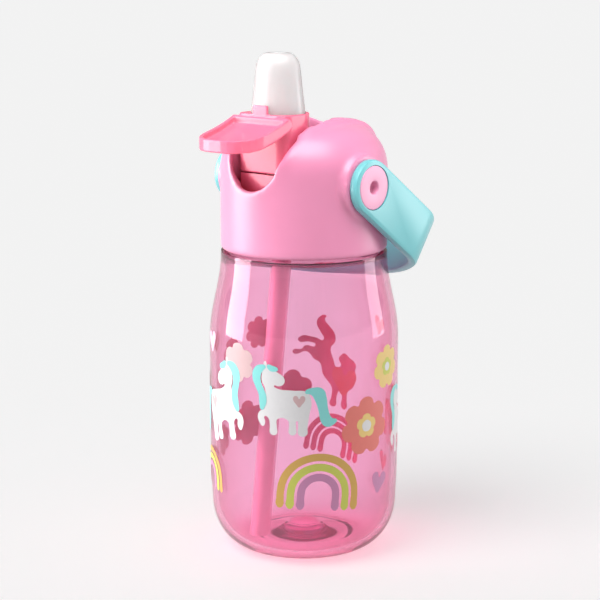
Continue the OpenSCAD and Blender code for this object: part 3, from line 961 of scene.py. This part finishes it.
@dataclass
class Lid:
    """The screw lid: a satin dome with a hood, a front opening and the spout's channel."""

    frame: dict[str, Any]
    voxel: float = 0.55
    opening_half: float = 17.0
    opening_low: float = 140.0
    opening_back: float = -6.0
    dome_low: float = 148.0
    edge_passes: int = 5
    dome_passes: int = 16
    opening_passes: int = 14
    last_passes: int = 3

    def at_opening(self, place: Vector) -> bool:
        """Tells whether a place is on the wide fillet around the front opening."""
        in_front = place.y < self.opening_back and abs(place.x) < self.opening_half
        return in_front and place.z > self.opening_low

    def on_dome(self, place: Vector) -> bool:
        """Tells whether a place is on the dome or the hood, above the crisp skirt."""
        return place.z > self.dome_low

    def shell(self) -> bpy.types.Object:
        """Builds the moulded shell with its softened edges."""
        form = Form(self.frame["nodes"]["lid_shell"].data)
        form.remesh(self.voxel)
        form.smooth(self.edge_passes)
        form.smooth(self.dome_passes, self.on_dome)
        form.smooth(self.opening_passes, self.at_opening)
        form.smooth(self.last_passes)
        return form.to_object("lid_satin", "lid", "pink_lid", [Finish.LID], ["lid_shell"])

    def dress_inner(self) -> None:
        """Dresses the pieces inside the lid."""
        wears = {
            "lid_collar": Finish.INNER,
            "lid_gasket": Finish.SEAL,
            "spout_cradle": Finish.RED,
            "port_seal": Finish.SEAL,
            "vent_valve": Finish.SEAL,
            "hinge_pin_left": Finish.STEEL,
            "hinge_pin_right": Finish.STEEL,
            "rotary_core": Finish.INNER,
            "handle_washer_left": Finish.INNER,
            "handle_washer_right": Finish.INNER,
        }
        for name, finish in wears.items():
            mesh = self.frame["nodes"][name].data
            mesh.materials.clear()
            mesh.materials.append(finish.material())

    def build(self) -> bpy.types.Object:
        """Builds the lid and dresses what is inside it."""
        self.dress_inner()
        return self.shell()


@dataclass
class Straw:
    """The clear straw that hangs from the lid's spigot and leans forward."""

    radius: float = 3.8
    bore: float = 3.0
    length: float = 128.6
    lean: float = 6.93
    top: tuple[float, float, float] = (0.0, -10.7, 136.8)
    cut_angle: float = 14.0

    def build(self) -> bpy.types.Object:
        """Builds the straw with its slanting cut end."""
        form = Form()
        section = [(self.bore, 0.0), (self.bore, -self.length), (self.radius, -self.length), (self.radius, 0.0)]
        form.lathe(section, 48)
        tilt = math.radians(self.lean + self.cut_angle)
        form.cut((0, 0, -self.length), (0, math.sin(tilt), -math.cos(tilt)), clear=True)
        ends = [edge for edge in form.bm.edges if edge.is_boundary]
        if ends:
            bmesh.ops.bridge_loops(form.bm, edges=ends)
        form.outward()
        form.bevel(form.sharp_edges(60.0), 0.12, 2)
        form.move(Matrix.Translation(self.top) @ Matrix.Rotation(math.radians(-self.lean), 4, "X"))
        return form.to_object("straw_clear", "lid", "clear_straw", [Finish.STRAW], ["straw"], 50.0)


# ------------------------------------------------------------------ flip-up spout


@dataclass
class FlipSpout:
    """The clear red carrier with its finger tab, and the milky spout that it holds."""

    frame: dict[str, Any]
    voxel: float = 0.3
    axis_y: float = -15.2
    deck: float = 172.5
    half_width: float = 11.4
    half_depth: float = 9.5
    edge_passes: int = 5
    unit_radius: float = 10.0

    def carrier(self) -> bpy.types.Object:
        """Builds the carrier with softened edges."""
        form = Form(self.frame["nodes"]["flip_carrier"].data)
        form.remesh(self.voxel)
        form.smooth(self.edge_passes)
        return form.to_object("carrier_clear_red", "spout", "clear_red", [Finish.RED], ["flip_carrier"])

    def spout(self) -> bpy.types.Object:
        """Builds the spout, an oval cone with a rolled tip and a sip hole."""
        outer = [(0.945, -4.3), (0.955, -2.6), (0.965, 0.0), (0.96, 1.6), (0.92, 5.0), (0.885, 8.0), (0.855, 10.9),
                 (0.825, 14.4), (0.795, 16.9), (0.77, 18.1), (0.735, 19.2), (0.68, 20.3), (0.61, 21.2), (0.53, 21.9),
                 (0.44, 22.35), (0.36, 22.45), (0.29, 22.3), (0.25, 21.9)]
        inner = [(0.24, 21.0), (0.27, 20.4), (0.4, 20.0), (0.5, 19.2), (0.57, 18.2), (0.61, 16.6), (0.65, 14.2),
                 (0.685, 10.9), (0.75, 5.0), (0.78, 0.5), (0.78, -4.3)]
        form = Form()
        form.lathe([(share * self.unit_radius, height) for share, height in outer + inner], 96)
        stretch = Matrix.Diagonal((self.half_width / self.unit_radius, self.half_depth / self.unit_radius, 1.0, 1.0))
        form.move(Matrix.Translation((0, self.axis_y, self.deck)) @ stretch)
        return form.to_object(
            "spout_milky", "spout", "spout_silicone", [Finish.SPOUT], ["drinking_spout"], 60.0
        )

    def build(self) -> list[bpy.types.Object]:
        """Builds the carrier and the spout."""
        return [self.carrier(), self.spout()]


# ------------------------------------------------------------------ handle


@dataclass
class Handle:
    """The turquoise strap: a flat bar with chamfered edges, bent round to a bowed back."""

    width: float = 21.0
    thickness: float = 3.5
    outer_x: float = 36.23
    reach: float = 56.9
    bow: float = 50.0
    bend: float = 13.0
    splay: float = 2.5
    drop: float = 36.5
    pivot: tuple[float, float, float] = (0.0, -2.2, 145.7)
    seat: float = 8.45
    seat_depth: float = 1.5
    bore: float = 4.55
    chamfer: float = 1.3
    inner_round: float = 0.7
    bend_step: float = 0.35
    back_step: float = 1.2

    def route(self) -> tuple[float, float, float, float]:
        """Works out the bends.

        Returns:
            The bend's centre (across, along), the angle where it meets the bow, and the arm's length.
        """
        lean = math.radians(self.splay)
        back = self.reach - self.bow
        guess = self.outer_x + 36.0 * math.tan(lean) - self.bend / math.cos(lean)
        along = back + math.sqrt((self.bow - self.bend) ** 2 - guess * guess)
        across = self.outer_x + along * math.tan(lean) - self.bend / math.cos(lean)
        meet = math.atan2(along - back, across)
        arm = (along - self.bend * math.sin(lean)) / math.cos(lean)
        return across, along, meet, arm

    def lay(self, place: Vector) -> Vector:
        """Bends a point of the flat bar to its place on the handle.

        Args:
            place: Distance along the bar from the middle of the back, across it, and out of its inner face.

        Returns:
            The point with the pivots on the X axis and the arms along Y.
        """
        across, along, meet, _ = self.route()
        lean = math.radians(self.splay)
        side = 1.0 if place.x >= 0 else -1.0
        run = abs(place.x)
        inset = self.thickness - place.z
        bow_run = self.bow * (math.pi / 2 - meet)
        bend_run = self.bend * (meet + lean)
        if run <= bow_run:
            angle = math.pi / 2 - run / self.bow
            x, y = (self.bow - inset) * math.cos(angle), self.reach - self.bow + (self.bow - inset) * math.sin(angle)
        elif run <= bow_run + bend_run:
            angle = meet - (run - bow_run) / self.bend
            x = across + (self.bend - inset) * math.cos(angle)
            y = along + (self.bend - inset) * math.sin(angle)
        else:
            rest = run - bow_run - bend_run
            x = across + (self.bend - inset) * math.cos(lean) - rest * math.sin(lean)
            y = along - (self.bend - inset) * math.sin(lean) - rest * math.cos(lean)
        return Vector((side * x, y, place.y))

    def bar(self) -> Form:
        """Builds the flat bar with round ends, chamfered edges, bores and button seats."""
        _, _, meet, arm = self.route()
        run = self.bow * (math.pi / 2 - meet) + self.bend * (meet + math.radians(self.splay)) + arm
        form = Form()
        half = self.width / 2
        bmesh.ops.create_grid(form.bm, x_segments=1, y_segments=1, size=1.0)
        form.move(Matrix.Diagonal((run + half, half, 1.0, 1.0)))
        bmesh.ops.bevel(
            form.bm, geom=list(form.bm.verts), offset=half - 0.02, segments=14, profile=0.5, affect="VERTICES",
            material=-1,
        )
        form.merge(0.05)
        raised = bmesh.ops.extrude_face_region(form.bm, geom=list(form.bm.faces), use_keep_orig=True)
        top = [item for item in raised["geom"] if isinstance(item, bmesh.types.BMVert)]
        bmesh.ops.translate(form.bm, vec=(0, 0, self.thickness), verts=top)
        form.outward()
        outside = [edge for edge in form.bm.edges if all(vert.co.z > self.thickness - 0.01 for vert in edge.verts)]
        form.bevel(outside, self.chamfer, 2)
        inside = [edge for edge in form.bm.edges
                  if all(vert.co.z < 0.01 for vert in edge.verts) and edge.calc_face_angle(0.0) > 1.0]
        form.bevel(inside, self.inner_round, 3)
        for side in (-1.0, 1.0):
            for radius, low in ((self.seat, self.thickness - self.seat_depth), (self.bore, -1.0)):
                tool = Form()
                bmesh.ops.create_cone(
                    tool.bm, cap_ends=True, segments=72, radius1=radius, radius2=radius, depth=10.0
                )
                tool.move(Matrix.Translation((side * run, 0, low + 5.0)))
                form.combine(tool, "DIFFERENCE")
        return form

    def build(self) -> bpy.types.Object:
        """Builds the handle, hanging down behind the bottle."""
        form = self.bar()
        _, _, meet, _ = self.route()
        curved = self.bow * (math.pi / 2 - meet) + self.bend * (meet + math.radians(self.splay))
        place = -curved
        while place <= curved:
            form.cut((place, 0, 0), (1, 0, 0))
            near_bend = abs(place) > curved - self.bend * 1.1
            place += self.bend_step if near_bend else self.back_step
        for vert in form.bm.verts:
            vert.co = self.lay(vert.co)
        form.move(Matrix.Translation(self.pivot) @ Matrix.Rotation(math.radians(-self.drop), 4, "X"))
        form.outward()
        return form.to_object(
            "handle_turquoise", "handle", "turquoise_handle", [Finish.HANDLE], ["carry_handle"], 28.0
        )


class Side(Enum):
    """The two ends of the handle."""

    LEFT = -1
    RIGHT = 1


@dataclass
class Button:
    """A snap-in pivot button with a blind hole in its head."""

    side: Side
    head: float = 8.3
    face: float = 36.15
    back: float = 34.85
    stem: float = 4.5
    catch: float = 5.2
    catch_x: tuple[float, float] = (27.4, 29.0)
    hole: float = 2.5
    hole_depth: float = 3.0
    pivot: tuple[float, float] = (-2.2, 145.7)

    def build(self) -> bpy.types.Object:
        """Builds the button."""
        floor = self.face - self.hole_depth
        outline = [(0.0, floor), (self.hole - 0.3, floor)]
        outline += arc(self.hole - 0.3, floor + 0.3, 0.3, -90, 0, 3)
        outline += [(self.hole, self.face - 0.45)] + arc(self.hole + 0.45, self.face - 0.45, 0.45, 180, 90, 4)
        outline += [(self.head * 0.6, self.face - 0.04)]
        outline += arc(self.head - 0.4, self.face - 0.4, 0.4, 90, 0, 4)
        low, high = self.catch_x
        outline += [(self.head, self.back), (self.stem, self.back), (self.stem, high), (self.catch, high),
                    (self.catch, low + 0.5), (self.catch - 0.5, low), (0.0, low)]
        form = Form()
        form.lathe(outline, 96)
        turn = Matrix.Rotation(math.radians(90.0 * self.side.value), 4, "Y")
        form.move(Matrix.Translation((0, *self.pivot)) @ turn)
        side = self.side.name.lower()
        return form.to_object(
            f"button_{side}", "lid", "pink_button", [Finish.BUTTON], [f"handle_button_{side}"], 35.0
        )


# ------------------------------------------------------------------ studio


@dataclass
class Studio:
    """The floor, the lights and the camera."""

    azimuth: float = 40.0
    pitch: float = 11.69
    distance: float = 0.68965
    height: float = 0.24062
    lens: float = 108.0
    shift: float = -0.00667
    floor_size: float = 60.0

    def camera(self) -> bpy.types.Object:
        """Sets the camera at its place."""
        data = bpy.data.cameras.new("camera")
        data.lens = self.lens
        data.sensor_width = 36.0
        data.shift_x = self.shift
        data.clip_end = 200.0
        camera = bpy.data.objects.new("camera", data)
        turn = math.radians(self.azimuth)
        camera.location = (self.distance * math.sin(turn), -self.distance * math.cos(turn), self.height)
        camera.rotation_euler = (math.radians(90.0 - self.pitch), 0.0, turn)
        bpy.context.scene.collection.objects.link(camera)
        bpy.context.scene.camera = camera
        return camera

    def floor(self) -> bpy.types.Object:
        """Lays the pale floor."""
        plane = bmesh.new()
        bmesh.ops.create_grid(plane, x_segments=4, y_segments=4, size=self.floor_size / 2)
        bmesh.ops.translate(plane, vec=(0, 0, -0.0003), verts=plane.verts)
        mesh = bpy.data.meshes.new("floor")
        plane.to_mesh(mesh)
        plane.free()
        mesh.materials.append(StudioSweep("studio_paper", (0.86, 0.86, 0.86), 0.41).build())
        floor = bpy.data.objects.new("floor", mesh)
        bpy.context.scene.collection.objects.link(floor)
        return floor

    def softbox(self, name: str, bearing: float, distance: float, height: float, size: Point, watts: float,
                aim: float = 0.1) -> bpy.types.Object:
        """Hangs a softbox around the bottle.

        Args:
            name: The lamp's name.
            bearing: Degrees to the right of the camera, seen from the bottle.
            distance: Metres from the bottle's axis.
            height: Metres above the floor.
            size: Width and height in metres.
            watts: Power.
            aim: Height that it points at, in metres.

        Returns:
            The lamp.
        """
        data = bpy.data.lights.new(name, "AREA")
        data.shape = "RECTANGLE"
        data.size, data.size_y = size
        data.energy = watts
        lamp = bpy.data.objects.new(name, data)
        lamp.visible_transmission = False
        turn = math.radians(self.azimuth + bearing)
        lamp.location = (distance * math.sin(turn), -distance * math.cos(turn), height)
        lamp.rotation_euler = (Vector((0, 0, aim)) - lamp.location).to_track_quat("-Z", "Y").to_euler()
        bpy.context.scene.collection.objects.link(lamp)
        return lamp

    def sky(self, strength: float) -> None:
        """Sets the even light from all round."""
        world = bpy.data.worlds.new("studio")
        world.use_nodes = True
        background = world.node_tree.nodes["Background"]
        background.inputs["Color"].default_value = (1.0, 1.0, 1.0, 1.0)
        background.inputs["Strength"].default_value = strength
        bpy.context.scene.world = world

    def sun(self, bearing: float, elevation: float, strength: float, spread: float) -> bpy.types.Object:
        """Adds the broad overhead light that gives the floor its soft shadow."""
        data = bpy.data.lights.new("overhead", "SUN")
        data.energy = strength
        data.angle = math.radians(spread)
        lamp = bpy.data.objects.new("overhead", data)
        lamp.visible_transmission = False
        turn, rise = math.radians(self.azimuth + bearing), math.radians(elevation)
        back = Vector((math.sin(turn) * math.cos(rise), -math.cos(turn) * math.cos(rise), math.sin(rise)))
        lamp.rotation_euler = back.to_track_quat("Z", "Y").to_euler()
        bpy.context.scene.collection.objects.link(lamp)
        return lamp

    def build(self, jar_pieces: Sequence[bpy.types.Object]) -> None:
        """Sets up the floor, the lights and the camera.

        Args:
            jar_pieces: The clear jar, its print and the straw, which the top softbox passes by.
        """
        bpy.context.scene.view_settings.view_transform = "Standard"
        self.camera()
        floor = self.floor()
        spared = bpy.data.collections.new("floor_spared")
        spared.objects.link(floor)
        spared.collection_objects[0].light_linking.link_state = "EXCLUDE"
        boxes = [
            self.softbox("softbox_left", bearing=-92.0, distance=0.75, height=0.17, size=(0.42, 0.8), watts=13.0),
            self.softbox("softbox_right", bearing=100.0, distance=0.75, height=0.2, size=(0.3, 0.6), watts=3.0),
            self.softbox("softbox_top", bearing=10.0, distance=0.35, height=0.85, size=(0.6, 0.6), watts=9.0),
        ]
        for box in boxes:
            box.light_linking.receiver_collection = spared
        shaded = bpy.data.collections.new("jar_spared")
        for piece in [floor, *jar_pieces]:
            shaded.objects.link(piece)
        for member in shaded.collection_objects:
            member.light_linking.link_state = "EXCLUDE"
        boxes[-1].light_linking.receiver_collection = shaded
        self.sun(bearing=-48.0, elevation=55.0, strength=1.0, spread=40.0)
        self.sky(0.3)


# ------------------------------------------------------------------ build


def main() -> None:
    """Builds the bottle piece by piece, then the studio around it."""
    logging.basicConfig(level=logging.INFO, format="%(message)s")
    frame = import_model()
    jar = Jar()
    jar_pieces = [jar.build(), *Print(jar).build(), Straw().build()]
    Lid(frame).build()
    FlipSpout(frame).build()
    Handle().build()
    for side in Side:
        Button(side).build()
    Studio().build(jar_pieces)


if __name__ == "__main__":
    main()
